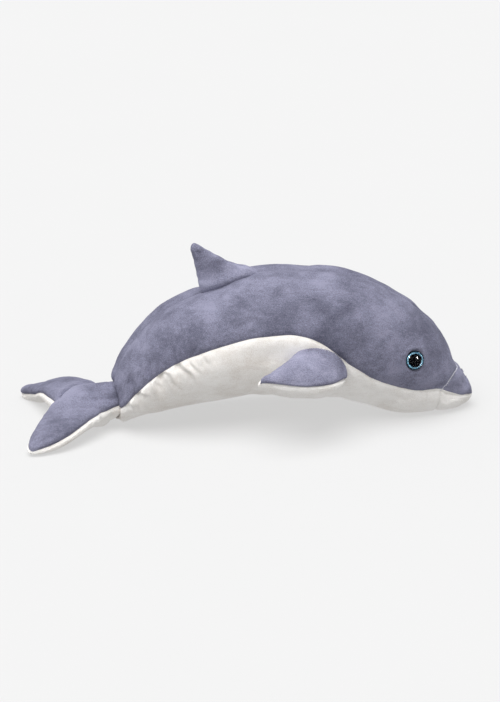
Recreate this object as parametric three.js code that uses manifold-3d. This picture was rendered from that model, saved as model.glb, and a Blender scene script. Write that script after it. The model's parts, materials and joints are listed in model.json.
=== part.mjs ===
// Plush dolphin, about 600 mm long, in millimetres: +X towards the beak, +Y to the animal's left, +Z up.
// The origin is on the surface it lies on, under the middle of its bounding box. It rests on its chin and
// on the tips of its tail flukes. Each fabric panel is a shell, each filling a solid inside it, and each
// seam's thread a thin tube between the panels that it joins.
import * as THREE from "three";
import { mergeVertices } from "three/addons/utils/BufferGeometryUtils.js";
import Module from "manifold-3d";

const wasm = await Module();
wasm.setup();

// ---- Driving dimensions -------------------------------------------------------------------------

const PILE = 3; // plush fabric, backing and pile together
const FILL_GAP = 2.5; // between a panel's inside and the filling
const SEAM_HALF = 1; // half of the slot between two torso panels, where the thread runs
const THREAD = 0.4; // half the width of a seam thread
const EDGE = 1.8; // half thickness of a fin at its sewn edge
const EDGE_GAP = 0.6; // half of the slot between a fin's two panels
const ROOT_GAP = 2.5; // from a fin's hinge line out to its fabric, clear of the torso
const SIDE = { right: -1, left: 1 };

// Ribs of the torso from the tail seam to the beak's tip. Each is [back x, back z, belly x, belly z,
// half width, angle from the back down to the side seam in degrees].
const RIBS = [
  [-182, 53, -173, 6, 27, 88],
  [-180, 72, -165, 9, 40, 96],
  [-170, 99, -148, 13, 50, 94],
  [-145, 131, -123, 19, 63, 86],
  [-109, 161, -90, 27, 73, 82],
  [-59, 184, -50, 33, 80, 79],
  [9, 206, 4, 37, 84, 78],
  [76, 205, 63, 34, 85, 79],
  [143, 195, 119, 27, 83, 102],
  [197, 169, 163, 14, 77, 111],
  [239, 134, 200, 0, 67, 107],
  [263, 100, 230, -4, 54, 98],
  [280, 63, 252, -2, 39, 89],
  [291, 42, 271, 1.5, 29, 79],
  [298, 34, 287, 4.5, 20, 74],
  [301, 25, 297, 9, 11, 72],
  [302, 17, 302, 17, 0, 70],
];
const BEAK_SEAM = 12; // the rib where the beak is sewn to the head
const ROWS_PER_RIB = 2;
const LAST_RIB = RIBS.length - 1;

// The eye's place is a rib and an angle from the back in degrees.
const EYE = { rib: 9.66, angle: 76, radius: 12, pupil: 8.2, stem: 3, stemLength: 13 };

// Flukes: notch is how far behind the hinge the middle of the trailing edge is, leadSweep and
// trailSweep how much further back each edge is at the tips, and droop how far the tips hang. root,
// blade and tip are half thicknesses.
const FLUKE = {
  hinge: new THREE.Vector3(-178.5, 0, 29.5),
  halfSpan: 115,
  notch: 78,
  leadSweep: 102,
  trailSweep: 46,
  droop: 26,
  root: 24,
  blade: 14,
  tip: 8,
};

// Dorsal fin: rear and front are the ends of its base as [x, z], lift how far its hinge is off the back,
// sweep how far back its leading edge runs, and taper the share of its crown lost at the tip.
const DORSAL = {
  rear: [-63, 185.5], front: [8, 207.5], lift: 2, height: 54, sweep: 60, crown: 10, taper: 0.45,
};

// Flippers: rear and front are the ends of the root as [rib, angle from the back], and span is how far
// out the tip is. frontX and rearX are the root's ends along the hinge, from its middle.
const FLIPPER = {
  rear: [6.5, 93], front: [8.2, 108], lift: 2.4, droop: 34, span: 57.5, frontX: 37, rearX: -38,
  tipX: -88, crown: 20, taper: 0.5,
};
const CLOSING = [4.5, 6]; // ribs between which the filling hole is sewn up by hand, on the left

// ---- Materials ----------------------------------------------------------------------------------

const material = (color, roughness, metalness = 0) =>
  new THREE.MeshStandardMaterial({ color, roughness, metalness, side: THREE.DoubleSide });
const GREY_PLUSH = material(0x85859b, 0.95);
const WHITE_PLUSH = material(0xe6e3de, 0.95);
const FILLING = material(0xf4f4f2, 1);
const GREY_THREAD = material(0x9a9aac, 0.7);
const WHITE_THREAD = material(0xeeece8, 0.7);
const BLACK_PLASTIC = material(0x0a0a0c, 0.2);
const CLEAR_PLASTIC = material(0xdfe8ee, 0.05);
const GLITTER = material(0x1d7fa6, 0.35, 0.4);
const WASHER_PLASTIC = material(0xd8d8d4, 0.5);

// ---- Solids from grids of points ------------------------------------------------------------------

// A closed geometry from triangles of points: equal points are joined, collapsed triangles are dropped
// and the faces are turned outwards.
function closedGeometry(triangles) {
  const keys = new Map();
  const positions = [];
  const indexOf = (p) => {
    const key = p.toArray().map((c) => Math.round(c * 1e4)).join();
    if (!keys.has(key)) {
      keys.set(key, positions.length / 3);
      positions.push(p.x, p.y, p.z);
    }
    return keys.get(key);
  };
  const index = [];
  let volume = 0;
  for (const [a, b, c] of triangles) {
    const face = [indexOf(a), indexOf(b), indexOf(c)];
    if (new Set(face).size < 3) continue;
    index.push(...face);
    volume += a.dot(new THREE.Vector3().crossVectors(b, c));
  }
  if (volume < 0) index.reverse();
  const geometry = new THREE.BufferGeometry();
  geometry.setAttribute("position", new THREE.Float32BufferAttribute(positions, 3));
  geometry.setIndex(index);
  geometry.computeVertexNormals();
  return geometry;
}

// The two triangles of a four-sided face.
const quad = (a, b, c, d) => [[a, b, c], [a, c, d]];

// A solid between two grids of points, front and back, with walls round the edge that they share.
function slab(front, back) {
  const rows = front.length - 1;
  const columns = front[0].length - 1;
  const faces = [];
  for (let i = 0; i < rows; i++)
    for (let j = 0; j < columns; j++) {
      faces.push(...quad(front[i][j], front[i + 1][j], front[i + 1][j + 1], front[i][j + 1]));
      faces.push(...quad(back[i][j], back[i][j + 1], back[i + 1][j + 1], back[i + 1][j]));
    }
  for (let i = 0; i < rows; i++) {
    faces.push(...quad(front[i][0], back[i][0], back[i + 1][0], front[i + 1][0]));
    faces.push(...quad(front[i][columns], front[i + 1][columns], back[i + 1][columns], back[i][columns]));
  }
  for (let j = 0; j < columns; j++) {
    faces.push(...quad(front[0][j], front[0][j + 1], back[0][j + 1], back[0][j]));
    faces.push(...quad(front[rows][j], back[rows][j], back[rows][j + 1], front[rows][j + 1]));
  }
  return closedGeometry(faces);
}

// A square-section thread through points, with a normal at each that one of its corners faces.
function thread(points, normals, closed = false) {
  const count = points.length;
  const rings = points.map((p, i) => {
    const before = points[closed ? (i + count - 1) % count : Math.max(i - 1, 0)];
    const after = points[closed ? (i + 1) % count : Math.min(i + 1, count - 1)];
    const along = after.clone().sub(before).normalize();
    const out = normals[i].clone().addScaledVector(along, -normals[i].dot(along)).normalize();
    const across = new THREE.Vector3().crossVectors(along, out);
    return [out, across, out.clone().negate(), across.clone().negate()].map((d) =>
      p.clone().addScaledVector(d, THREAD),
    );
  });
  const faces = [];
  const segments = closed ? count : count - 1;
  for (let i = 0; i < segments; i++) {
    const a = rings[i];
    const b = rings[(i + 1) % count];
    for (let k = 0; k < 4; k++) faces.push(...quad(a[k], b[k], b[(k + 1) % 4], a[(k + 1) % 4]));
  }
  if (!closed) {
    const [first, last] = [rings[0], rings[count - 1]];
    faces.push(...quad(first[0], first[1], first[2], first[3]));
    faces.push(...quad(last[3], last[2], last[1], last[0]));
  }
  return closedGeometry(faces);
}

const radians = THREE.MathUtils.degToRad;
const range = (count, f) => Array.from({ length: count + 1 }, (_, i) => f(i / count, i));

// ---- Torso surface ----------------------------------------------------------------------------------

// The value of one column of RIBS at a place between ribs, on a smooth curve through them.
function along(column, rib) {
  const at = (i) => RIBS[THREE.MathUtils.clamp(i, 0, LAST_RIB)][column];
  const i = Math.min(Math.floor(rib), LAST_RIB - 1);
  const t = rib - i;
  const [a, b, c, d] = [at(i - 1), at(i), at(i + 1), at(i + 2)];
  const slopeIn = i === 0 ? c - b : (c - a) / 2;
  const slopeOut = i === LAST_RIB - 1 ? c - b : (d - b) / 2;
  const t2 = t * t;
  const t3 = t2 * t;
  return (
    b * (2 * t3 - 3 * t2 + 1) + slopeIn * (t3 - 2 * t2 + t) + c * (3 * t2 - 2 * t3) + slopeOut * (t3 - t2)
  );
}

const seamAngle = (rib) => radians(along(5, rib));

// A point of the torso's outer surface. The angle runs from the back, 0, down the right side to the
// belly, pi, and on up the left side. Where it lies on the ground it is flat.
function torsoPoint(rib, angle) {
  const [backX, backZ, bellyX, bellyZ, width] = [0, 1, 2, 3, 4].map((column) => along(column, rib));
  const lean = Math.cos(angle);
  return new THREE.Vector3(
    (backX + bellyX) / 2 + ((backX - bellyX) / 2) * lean,
    SIDE.right * Math.max(width, 0) * Math.sin(angle),
    Math.max((backZ + bellyZ) / 2 + ((backZ - bellyZ) / 2) * lean, 0),
  );
}

function torsoNormal(rib, angle) {
  if (rib >= LAST_RIB) return new THREE.Vector3(1, 0, 0);
  const step = 1e-3;
  const before = Math.max(rib - step, 0);
  const after = Math.min(rib + step, LAST_RIB - step / 2);
  const down = torsoPoint(rib, angle + step).sub(torsoPoint(rib, angle - step));
  const forward = torsoPoint(after, angle).sub(torsoPoint(before, angle));
  return forward.cross(down).normalize().negate();
}

const torsoInset = (rib, angle, depth) =>
  torsoPoint(rib, angle).addScaledVector(torsoNormal(rib, angle), -depth);

// The angle that a length along a rib makes, where the rib isn't too small.
const seamTurn = (rib, length) => length / Math.max(along(4, rib), 8);

// A torso panel between two ribs and two angles, each angle a function of the rib, kept half a seam
// clear of its neighbours.
function torsoPanel(fromRib, toRib, fromAngle, toAngle, columns) {
  const rows = Math.round((toRib - fromRib) * ROWS_PER_RIB);
  const grid = (depth) =>
    range(rows, (t) => {
      const rib = fromRib + (toRib - fromRib) * t;
      const turn = rib >= LAST_RIB ? 0 : seamTurn(rib, SEAM_HALF);
      const from = fromAngle(rib) + turn;
      const to = toAngle(rib) - turn;
      return range(columns, (s) => torsoInset(rib, from + (to - from) * s, depth));
    });
  return slab(grid(0), grid(PILE));
}

const SEAM_RIBS = 0.05; // half of the slot at a seam round a rib, in ribs
const BACK = () => 0;
const RIGHT_SEAM = seamAngle;
const LEFT_SEAM = (rib) => 2 * Math.PI - seamAngle(rib);
const FULL_TURN = () => 2 * Math.PI;

// The filling of the torso: a closed body of rings, inside all its panels.
function torsoFilling() {
  const columns = 18;
  const depth = PILE + FILL_GAP;
  const firstRib = 0.12;
  const lastRib = LAST_RIB - 0.5;
  const rows = Math.round((lastRib - firstRib) * ROWS_PER_RIB);
  const rings = range(rows, (t) => {
    const rib = firstRib + (lastRib - firstRib) * t;
    return range(columns - 1, (_, j) => torsoInset(rib, (2 * Math.PI * j) / columns, depth));
  });
  const faces = [];
  const cap = (ring) => {
    const middle = ring.reduce((sum, p) => sum.add(p), new THREE.Vector3()).divideScalar(columns);
    return ring.map((p, j) => [middle, ring[(j + 1) % columns], p]);
  };
  for (let i = 0; i < rows; i++)
    for (let j = 0; j < columns; j++) {
      const next = (j + 1) % columns;
      faces.push(...quad(rings[i][j], rings[i + 1][j], rings[i + 1][next], rings[i][next]));
    }
  faces.push(...cap(rings[0]).map(([a, b, c]) => [a, c, b]));
  faces.push(...cap(rings[rows]));
  return closedGeometry(faces);
}

// ---- Cutting --------------------------------------------------------------------------------------

function solidOf(geometry) {
  const bare = geometry.clone();
  bare.deleteAttribute("normal");
  bare.deleteAttribute("uv");
  const merged = mergeVertices(bare, 1e-4);
  return new wasm.Manifold(
    new wasm.Mesh({
      numProp: 3,
      vertProperties: merged.attributes.position.array,
      triVerts: new Uint32Array(merged.index.array),
    }),
  );
}

function cut(geometry, ...tools) {
  const left = tools.reduce((solid, tool) => solid.subtract(solidOf(tool)), solidOf(geometry));
  const mesh = left.getMesh();
  const result = new THREE.BufferGeometry();
  result.setAttribute("position", new THREE.Float32BufferAttribute(mesh.vertProperties, 3));
  result.setIndex(Array.from(mesh.triVerts));
  result.computeVertexNormals();
  return result;
}

// ---- Eyes -------------------------------------------------------------------------------------------

const ROUND = 18; // facets round an eye

// A turned piece from [radius, height] pairs, with its axis along +Z.
const turned = (profile) =>
  new THREE.LatheGeometry(profile.map(([r, z]) => new THREE.Vector2(r, z)), ROUND).rotateX(Math.PI / 2);

// The eye's place and direction on one side, as a matrix from its own frame, with +Z out of the head.
function eyeMatrix(side) {
  const angle = radians(EYE.angle);
  const place = torsoPoint(EYE.rib, angle);
  const out = torsoNormal(EYE.rib, angle);
  place.y *= -side;
  out.y *= -side;
  const turn = new THREE.Quaternion().setFromUnitVectors(new THREE.Vector3(0, 0, 1), out);
  return new THREE.Matrix4().compose(place, turn, new THREE.Vector3(1, 1, 1));
}

const EYE_SEAT = 0.5; // the eye's back stands this far off the panel
const EYE_BACK = 2; // thickness of the eye's black back
const PUPIL_RISE = 0.8; // the pupil stands this far above the back
const EYE_GAP = 0.3; // between the iris, the back and the lens
const IRIS_RIM = 0.7; // the black rim outside the iris
const IRIS_THICK = 0.5;
const DOME = 4; // height of the lens
const eyeBack = () => {
  const top = EYE_SEAT + EYE_BACK;
  return turned([
    [0, -EYE.stemLength],
    [EYE.stem, -EYE.stemLength],
    [EYE.stem, EYE_SEAT],
    [EYE.radius, EYE_SEAT],
    [EYE.radius, top],
    [EYE.pupil, top],
    [EYE.pupil, top + PUPIL_RISE],
    [0, top + PUPIL_RISE],
  ]);
};
const eyeIris = () => {
  const low = EYE_SEAT + EYE_BACK + EYE_GAP;
  const [inner, outer] = [EYE.pupil + EYE_GAP, EYE.radius - IRIS_RIM];
  return turned([
    [inner, low],
    [outer, low],
    [outer, low + IRIS_THICK],
    [inner, low + IRIS_THICK],
    [inner, low],
  ]);
};
const eyeLens = () => {
  const low = EYE_SEAT + EYE_BACK + PUPIL_RISE + EYE_GAP;
  const rim = 0.6;
  const dome = range(5, (t) => [
    EYE.radius * Math.cos((t * Math.PI) / 2),
    low + rim + DOME * Math.sin((t * Math.PI) / 2),
  ]);
  dome[dome.length - 1][0] = 0;
  return turned([[0, low], [EYE.radius, low], ...dome]);
};
const WASHER = { depth: 5, radius: 8, thickness: 1.5 };
const eyeWasher = () => {
  const [inner, outer] = [EYE.stem + EYE_GAP, WASHER.radius];
  const low = -WASHER.depth - WASHER.thickness;
  return turned([
    [inner, low],
    [outer, low],
    [outer, -WASHER.depth],
    [inner, -WASHER.depth],
    [inner, low],
  ]);
};
const cylinder = (radius, low, high) =>
  new THREE.CylinderGeometry(radius, radius, high - low, ROUND)
    .rotateX(Math.PI / 2)
    .translate(0, 0, (low + high) / 2);

// The hole in a panel for the stem, and the pocket in the filling for the stem and its washer.
const HOLE_GAP = 0.4;
const POCKET_GAP = 1;
const stemHole = (side) => cylinder(EYE.stem + HOLE_GAP, -8, 3).applyMatrix4(eyeMatrix(side));
const washerPocket = (side) =>
  cylinder(WASHER.radius + POCKET_GAP, -EYE.stemLength - POCKET_GAP, 4).applyMatrix4(eyeMatrix(side));

// ---- Fins -----------------------------------------------------------------------------------------

// A fin is a pillow between two outlines. Its shape says, for a row from 0 to 1, where its leading and
// trailing edges are, and how high it is halfway between them. place() puts a point of the fin's plane,
// and a height off it, into the fin's own frame, in which the hinge passes through the origin.
const ACROSS = 6;
const FIN_FILL_GAP = 1.8;
const ROOT_HALF = 2; // half thickness at the hinge, from where a fin opens out like a wedge

function finHeight(shape, row, across) {
  const crown = Math.max(shape.crown(row), EDGE);
  const round = EDGE + (crown - EDGE) * Math.sqrt(Math.max(1 - across * across, 0));
  const [x, y] = finPlan(shape, row, across);
  return Math.min(round, shape.rootLimit(x, y));
}

function finPlan(shape, row, across) {
  const lead = shape.lead(row);
  const trail = shape.trail(row);
  return [0, 1].map((k) => (lead[k] + trail[k]) / 2 + ((lead[k] - trail[k]) / 2) * across);
}

// Rows closer together towards the tips, where the outline turns.
const finRow = (shape, t) => (shape.twoTips ? (1 - Math.cos(Math.PI * t)) / 2 : Math.sin((Math.PI * t) / 2));
const finAcross = (s) => Math.sin(Math.PI * (s - 0.5));

function finPanel(shape, face) {
  const grid = (depth) =>
    range(shape.rows, (t) =>
      range(ACROSS, (s) => {
        const [row, across] = [finRow(shape, t), finAcross(s)];
        const height = finHeight(shape, row, across);
        const at = depth ? Math.max(height - depth, EDGE_GAP) : height;
        return shape.place(...finPlan(shape, row, across), face * at);
      }),
    );
  return slab(grid(0), grid(PILE));
}

// The filling follows the panels' own rows and columns, short of the edge and of the tips.
function finFilling(shape) {
  const thinnest = 0.3;
  const short = 0.97; // its width, as a share of the panels' columns
  const tipRows = 3;
  const fromRow = shape.twoTips ? tipRows : 1;
  const rows = shape.rows - fromRow - tipRows;
  const grid = (face) =>
    range(rows, (_, i) =>
      range(ACROSS - 2, (_, j) => {
        const row = finRow(shape, (fromRow + i) / shape.rows);
        const across = short * finAcross((j + 1) / ACROSS);
        const height = Math.max(finHeight(shape, row, across) - PILE - FIN_FILL_GAP, thinnest);
        return shape.place(...finPlan(shape, row, across), face * height);
      }),
    );
  return slab(grid(1), grid(-1));
}

// The thread that joins a fin's two panels, just inside its edge: down the trailing edge, round the tip
// or tips and back up the leading edge.
function finThread(shape) {
  const inside = 0.955; // its place between the middle of the fin and its edge
  const [firstRow, lastRow] = [0.02, 0.985];
  const rows = range(shape.rows, (t) => THREE.MathUtils.clamp(finRow(shape, t), firstRow, lastRow));
  const line = (sign, order) => order.map((row) => shape.place(...finPlan(shape, row, sign * inside), 0));
  const points = [...line(-1, rows), ...line(1, rows.slice().reverse())];
  const up = shape.place(0, 0, 1).sub(shape.place(0, 0, 0));
  return thread(points, points.map(() => up), shape.twoTips);
}

// Flukes: both blades are one pillow, sewn to the torso along a hinge line across the tail. Rows run
// from the right tip to the left one. The tips droop to the ground and are flat where they lie on it.
const flukeSide = (row) => 2 * row - 1;
const flukeTipChord = (out) => Math.sqrt(Math.max(1 - out ** 12, 0));
const flukeShape = {
  twoTips: true,
  rows: 18,
  lead: (row) => {
    const side = flukeSide(row);
    const out = Math.abs(side);
    const swept = 0.02 * out + 0.84 * out ** 1.8 + 0.14 * out ** 8;
    return [-(ROOT_GAP + FLUKE.leadSweep * swept), side * FLUKE.halfSpan];
  },
  trail: (row) => {
    const side = flukeSide(row);
    const out = Math.abs(side);
    const back = FLUKE.notch + FLUKE.trailSweep * out ** 1.1;
    const lead = -flukeShape.lead(row)[0];
    return [-(lead + (back - lead) * Math.max(flukeTipChord(out), 0.04)), side * FLUKE.halfSpan];
  },
  crown: (row) => {
    const out = Math.abs(flukeSide(row));
    const stalkWidth = 0.22;
    const stalk = (FLUKE.root - FLUKE.blade) * Math.exp(-((out / stalkWidth) ** 2));
    return (stalk + FLUKE.blade + (FLUKE.tip - FLUKE.blade) * out ** 3) * flukeTipChord(out) ** 0.7;
  },
  rootLimit: (x) => ROOT_HALF + 1.5 * Math.max(-x - ROOT_GAP, 0),
  place: (x, y, height) => {
    const out = Math.abs(y) / FLUKE.halfSpan;
    const middle = -2 * Math.min(-x / FLUKE.notch, 1) - FLUKE.droop * out ** 2.2;
    return new THREE.Vector3(x, y, Math.max(middle + height, -FLUKE.hinge.z));
  },
};

// Dorsal fin: stands on the back's centre seam, swept back, with its hinge along its base.
const finTipChord = (row) => Math.sqrt(Math.max(1 - row ** 6, 0));
const DORSAL_BASE = Math.hypot(DORSAL.front[0] - DORSAL.rear[0], DORSAL.front[1] - DORSAL.rear[1]);
const dorsalShape = {
  twoTips: false,
  rows: 9,
  lead: (row) => [DORSAL_BASE / 2 - 3 - DORSAL.sweep * row ** 0.95, ROOT_GAP + DORSAL.height * row],
  trail: (row) => {
    const [leadX, height] = dorsalShape.lead(row);
    const trailX = -DORSAL_BASE / 2 + 4 * row;
    return [leadX - (leadX - trailX) * Math.max(finTipChord(row), 0.1), height];
  },
  crown: (row) => DORSAL.crown * (1 - DORSAL.taper * row) * finTipChord(row) ** 0.6,
  rootLimit: (x, y) => ROOT_HALF + Math.max(y - ROOT_GAP, 0),
  place: (x, y, height) => new THREE.Vector3(x, height, y),
};

// Flippers: swept back and hanging, with the hinge along the root. On each side the plane's second
// coordinate runs outwards, and the height goes up.
const flipperShape = (side) => {
  const shape = {
    twoTips: false,
    rows: 9,
    lead: (row) => [
      FLIPPER.frontX + (FLIPPER.tipX - FLIPPER.frontX) * (0.48 * row + 0.52 * row ** 2),
      ROOT_GAP + FLIPPER.span * Math.sin((Math.PI / 2) * row),
    ],
    trail: (row) => {
      const [leadX, leadY] = shape.lead(row);
      const x = FLIPPER.rearX + (FLIPPER.tipX - FLIPPER.rearX) * row ** 1.1;
      const y = ROOT_GAP + 0.94 * FLIPPER.span * row;
      const shut = Math.max(finTipChord(row), 0.05);
      return [leadX + (x - leadX) * shut, leadY + (y - leadY) * shut];
    },
    crown: (row) => FLIPPER.crown * (1 - FLIPPER.taper * row) * finTipChord(row) ** 0.6,
    rootLimit: (x, y) => ROOT_HALF + 1.1 * Math.max(y - ROOT_GAP, 0),
    place: (x, y, height) => new THREE.Vector3(x, side * y, height),
  };
  return shape;
};

// Where a flipper's root lies: its origin halfway along the root line, +X forwards along it, and +Z out
// of the flipper's upper face.
function flipperFrame(side) {
  const onSide = ([rib, angle]) => {
    const p = torsoPoint(rib, radians(angle));
    p.y *= -side;
    return p;
  };
  const [rear, front] = [onSide(FLIPPER.rear), onSide(FLIPPER.front)];
  const forward = front.clone().sub(rear).normalize();
  const droop = radians(FLIPPER.droop);
  const outward = new THREE.Vector3(0, side * Math.cos(droop), -Math.sin(droop));
  outward.addScaledVector(forward, -outward.dot(forward)).normalize();
  const up = new THREE.Vector3().crossVectors(forward, outward).multiplyScalar(side);
  const origin = rear.add(front).multiplyScalar(0.5).addScaledVector(outward, FLIPPER.lift);
  const basis = new THREE.Matrix4().makeBasis(forward, new THREE.Vector3().crossVectors(up, forward), up);
  return { origin, basis };
}

// The hand stitching round a flipper's root, an oval on the torso's surface.
function flipperSeam(side) {
  const count = 20;
  const above = THREAD + 0.5;
  const halfHeight = 11; // degrees round the torso
  const [rearRib, rearAngle] = FLIPPER.rear;
  const [frontRib, frontAngle] = FLIPPER.front;
  const places = Array.from({ length: count }, (_, i) => {
    const turn = (2 * Math.PI * i) / count;
    const share = (1 - Math.cos(turn)) / 2;
    const rib = rearRib + (frontRib - rearRib) * share;
    const angle = rearAngle + (frontAngle - rearAngle) * share + halfHeight * Math.sin(turn);
    return [rib, radians(angle)];
  });
  const mirror = (p) => {
    p.y *= -side;
    return p;
  };
  const points = places.map(([rib, angle]) => mirror(torsoInset(rib, angle, -above)));
  return thread(points, places.map(([rib, angle]) => mirror(torsoNormal(rib, angle))), true);
}

// ---- Seam threads of the torso --------------------------------------------------------------------

// A thread under the pile, at half the panels' thickness, through [rib, angle] places.
function torsoThread(places, closed = false) {
  const points = places.map(([rib, angle]) => torsoInset(rib, angle, PILE / 2));
  return thread(points, places.map(([rib, angle]) => torsoNormal(rib, angle)), closed);
}

// Places along a seam between two ribs, at every row of the panels and at the two ends.
function seamPlaces(fromRib, toRib, angle) {
  const ends = [fromRib, toRib];
  const rows = range(LAST_RIB * ROWS_PER_RIB, (_, i) => i / ROWS_PER_RIB);
  const inside = rows.filter((rib) => rib > fromRib + 0.1 && rib < toRib - 0.1);
  return [ends[0], ...inside, ends[1]].map((rib) => [rib, angle(rib)]);
}

const ringPlaces = (rib, count) =>
  Array.from({ length: count }, (_, i) => [rib, (2 * Math.PI * i) / count]);

// ---- Assembly ---------------------------------------------------------------------------------------

const dolphin = new THREE.Group();

function add(parent, name, geometry, look) {
  const mesh = new THREE.Mesh(geometry, look);
  mesh.name = name;
  parent.add(mesh);
  return mesh;
}

function addTorso() {
  const head = BEAK_SEAM - SEAM_RIBS;
  const beak = BEAK_SEAM + SEAM_RIBS;
  const right = torsoPanel(0, head, BACK, RIGHT_SEAM, 7);
  const left = torsoPanel(0, head, LEFT_SEAM, FULL_TURN, 7);
  add(dolphin, "back_panel_right", cut(right, stemHole(SIDE.right)), GREY_PLUSH);
  add(dolphin, "back_panel_left", cut(left, stemHole(SIDE.left)), GREY_PLUSH);
  add(dolphin, "belly_panel", torsoPanel(0, head, RIGHT_SEAM, LEFT_SEAM, 10), WHITE_PLUSH);
  const beakTop = torsoPanel(beak, LAST_RIB, (rib) => -seamAngle(rib), RIGHT_SEAM, 8);
  const beakBottom = torsoPanel(beak, LAST_RIB, RIGHT_SEAM, LEFT_SEAM, 8);
  // The beak's seam slot closes to nothing at its tip, so its upper half is raised by half a seam.
  add(dolphin, "beak_upper_panel", beakTop.translate(0, 0, SEAM_HALF), GREY_PLUSH);
  add(dolphin, "beak_lower_panel", beakBottom, WHITE_PLUSH);
  const filling = cut(torsoFilling(), washerPocket(SIDE.right), washerPocket(SIDE.left));
  add(dolphin, "torso_filling", filling, FILLING);
}

function addTorsoThreads() {
  const front = BEAK_SEAM - 4 * SEAM_RIBS;
  const rear = 0.2;
  const gap = 0.1;
  const line = (from, to, angle) => torsoThread(seamPlaces(from, to, angle));
  add(dolphin, "back_seam_thread", line(rear, front, BACK), GREY_THREAD);
  add(dolphin, "side_seam_thread_right", line(rear, front, RIGHT_SEAM), GREY_THREAD);
  add(dolphin, "side_seam_thread_left_rear", line(rear, CLOSING[0] - gap, LEFT_SEAM), GREY_THREAD);
  add(dolphin, "closing_stitch_thread", line(...CLOSING, LEFT_SEAM), GREY_THREAD);
  add(dolphin, "side_seam_thread_left_front", line(CLOSING[1] + gap, front, LEFT_SEAM), GREY_THREAD);
  add(dolphin, "beak_seam_thread", torsoThread(ringPlaces(BEAK_SEAM, 20), true), GREY_THREAD);
}

function addEye(name, side) {
  const eye = new THREE.Group();
  eye.applyMatrix4(eyeMatrix(side));
  add(eye, `eye_back_${name}`, eyeBack(), BLACK_PLASTIC);
  add(eye, `eye_iris_${name}`, eyeIris(), GLITTER);
  add(eye, `eye_lens_${name}`, eyeLens(), CLEAR_PLASTIC);
  add(eye, `eye_washer_${name}`, eyeWasher(), WASHER_PLASTIC);
  dolphin.add(eye);
}

function addDorsalFin() {
  const [rear, front] = [DORSAL.rear, DORSAL.front];
  const slope = Math.atan2(front[1] - rear[1], front[0] - rear[0]);
  const fin = new THREE.Group();
  fin.name = "dorsal_fin_hinge";
  fin.position.set((rear[0] + front[0]) / 2, 0, (rear[1] + front[1]) / 2);
  fin.position.x -= DORSAL.lift * Math.sin(slope);
  fin.position.z += DORSAL.lift * Math.cos(slope);
  fin.rotation.y = -slope;
  add(fin, "dorsal_fin_panel_right", finPanel(dorsalShape, SIDE.right), GREY_PLUSH);
  add(fin, "dorsal_fin_panel_left", finPanel(dorsalShape, SIDE.left), GREY_PLUSH);
  add(fin, "dorsal_fin_filling", finFilling(dorsalShape), FILLING);
  add(fin, "dorsal_fin_edge_thread", finThread(dorsalShape), GREY_THREAD);
  dolphin.add(fin);
}

function addFlipper(name, side) {
  const shape = flipperShape(side);
  const frame = flipperFrame(side);
  const flipper = new THREE.Group();
  flipper.name = `flipper_${name}_hinge`;
  flipper.applyMatrix4(frame.basis.setPosition(frame.origin));
  add(flipper, `flipper_${name}_upper_panel`, finPanel(shape, 1), GREY_PLUSH);
  add(flipper, `flipper_${name}_lower_panel`, finPanel(shape, -1), WHITE_PLUSH);
  add(flipper, `flipper_${name}_filling`, finFilling(shape), FILLING);
  add(flipper, `flipper_${name}_edge_thread`, finThread(shape), WHITE_THREAD);
  dolphin.add(flipper);
  add(dolphin, `flipper_${name}_seam_thread`, flipperSeam(side), WHITE_THREAD);
}

function addFlukes() {
  const flukes = new THREE.Group();
  flukes.name = "fluke_hinge";
  flukes.position.copy(FLUKE.hinge);
  add(flukes, "fluke_upper_panel", finPanel(flukeShape, 1), GREY_PLUSH);
  add(flukes, "fluke_lower_panel", finPanel(flukeShape, -1), WHITE_PLUSH);
  add(flukes, "fluke_filling", finFilling(flukeShape), FILLING);
  add(flukes, "fluke_edge_thread", finThread(flukeShape), WHITE_THREAD);
  dolphin.add(flukes);
}

addTorso();
addTorsoThreads();
addDorsalFin();
addFlukes();
for (const [name, side] of Object.entries(SIDE)) {
  addEye(name, side);
  addFlipper(name, side);
}

// Puts the origin under the middle of the bounding box.
dolphin.updateMatrixWorld(true);
const box = new THREE.Box3().setFromObject(dolphin, true);
dolphin.position.set(-(box.min.x + box.max.x) / 2, 0, -box.min.z);

export default dolphin;
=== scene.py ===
# A plush dolphin. Sizes in the tables and in the shape functions are millimetres, in the CAD's frame.
import json
import math
import bpy
import bmesh
import numpy as np
from mathutils import Matrix, Vector, noise


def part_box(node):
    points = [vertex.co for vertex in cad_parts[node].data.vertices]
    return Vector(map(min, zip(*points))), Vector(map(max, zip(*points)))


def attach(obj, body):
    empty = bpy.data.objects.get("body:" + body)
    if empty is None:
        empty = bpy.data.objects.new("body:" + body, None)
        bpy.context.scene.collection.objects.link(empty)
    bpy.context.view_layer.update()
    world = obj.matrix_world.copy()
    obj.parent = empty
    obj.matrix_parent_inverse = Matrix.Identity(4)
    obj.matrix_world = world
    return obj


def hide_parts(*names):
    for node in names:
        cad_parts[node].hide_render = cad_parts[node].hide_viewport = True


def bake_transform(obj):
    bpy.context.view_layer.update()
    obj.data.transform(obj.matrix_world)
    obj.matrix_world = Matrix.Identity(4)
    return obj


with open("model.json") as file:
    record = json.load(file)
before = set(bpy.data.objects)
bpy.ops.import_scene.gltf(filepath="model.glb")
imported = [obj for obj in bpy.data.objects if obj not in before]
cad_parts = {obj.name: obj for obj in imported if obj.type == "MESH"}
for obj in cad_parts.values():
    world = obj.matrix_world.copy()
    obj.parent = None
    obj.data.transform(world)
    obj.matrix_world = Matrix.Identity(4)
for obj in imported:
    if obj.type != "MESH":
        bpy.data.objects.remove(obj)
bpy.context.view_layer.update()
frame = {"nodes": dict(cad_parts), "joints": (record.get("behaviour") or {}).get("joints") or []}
MM = 0.001
TAU = 2 * math.pi

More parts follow.
